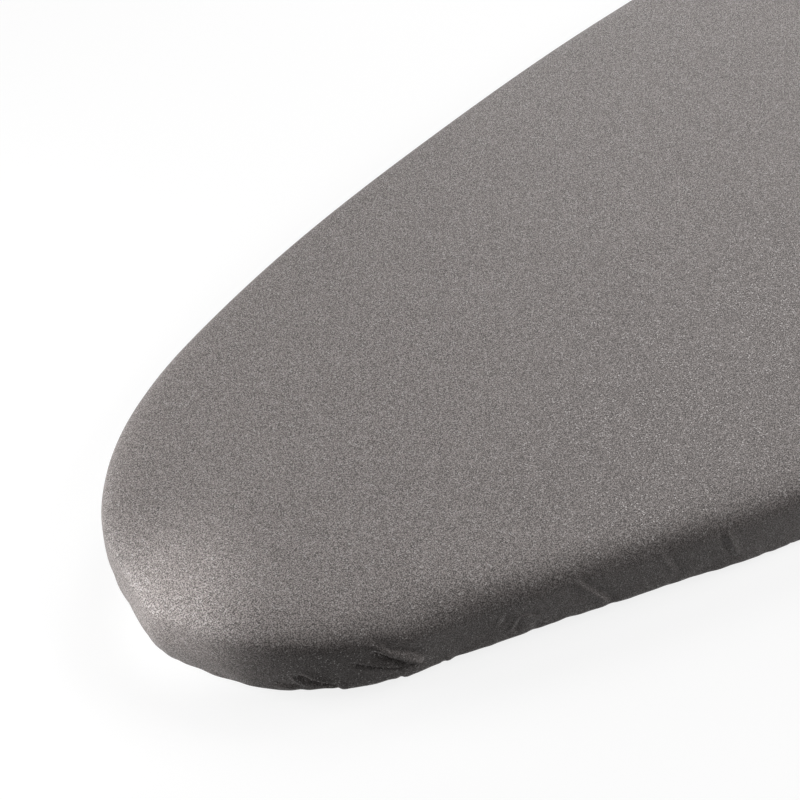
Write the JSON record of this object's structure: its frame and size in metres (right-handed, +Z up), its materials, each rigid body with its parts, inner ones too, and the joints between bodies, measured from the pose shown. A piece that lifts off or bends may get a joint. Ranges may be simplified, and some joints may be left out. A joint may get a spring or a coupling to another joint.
{
  "type": "ironing board cover",
  "caption": "Padded ironing board cover with a metallised cloth top, foam and felt layers and a gathered elastic hem that grips under the board's rim.",
  "frame": {"origin": "middle of the cover's length and width, on the plane that the hem rests on", "axes": "+X along the cover from the rounded nose to the square tail, +Z up through the ironing face"},
  "size_m": [1.21, 0.39, 0.0422],
  "materials": {
    "cover_cloth": "metallised woven cotton, warm grey with a fine sparkle",
    "foam_pad": "open-cell polyurethane foam",
    "felt_underlay": "needled felt",
    "hem_casing": "woven binding tape, dark grey",
    "hem_elastic": "braided flat elastic"
  },
  "bodies": {
    "root": {"cover_cloth": "cover_cloth", "foam_pad": "foam_pad", "felt_underlay": "felt_underlay", "hem_casing": "hem_casing", "hem_elastic": "hem_elastic"}
  },
  "joints": []
}
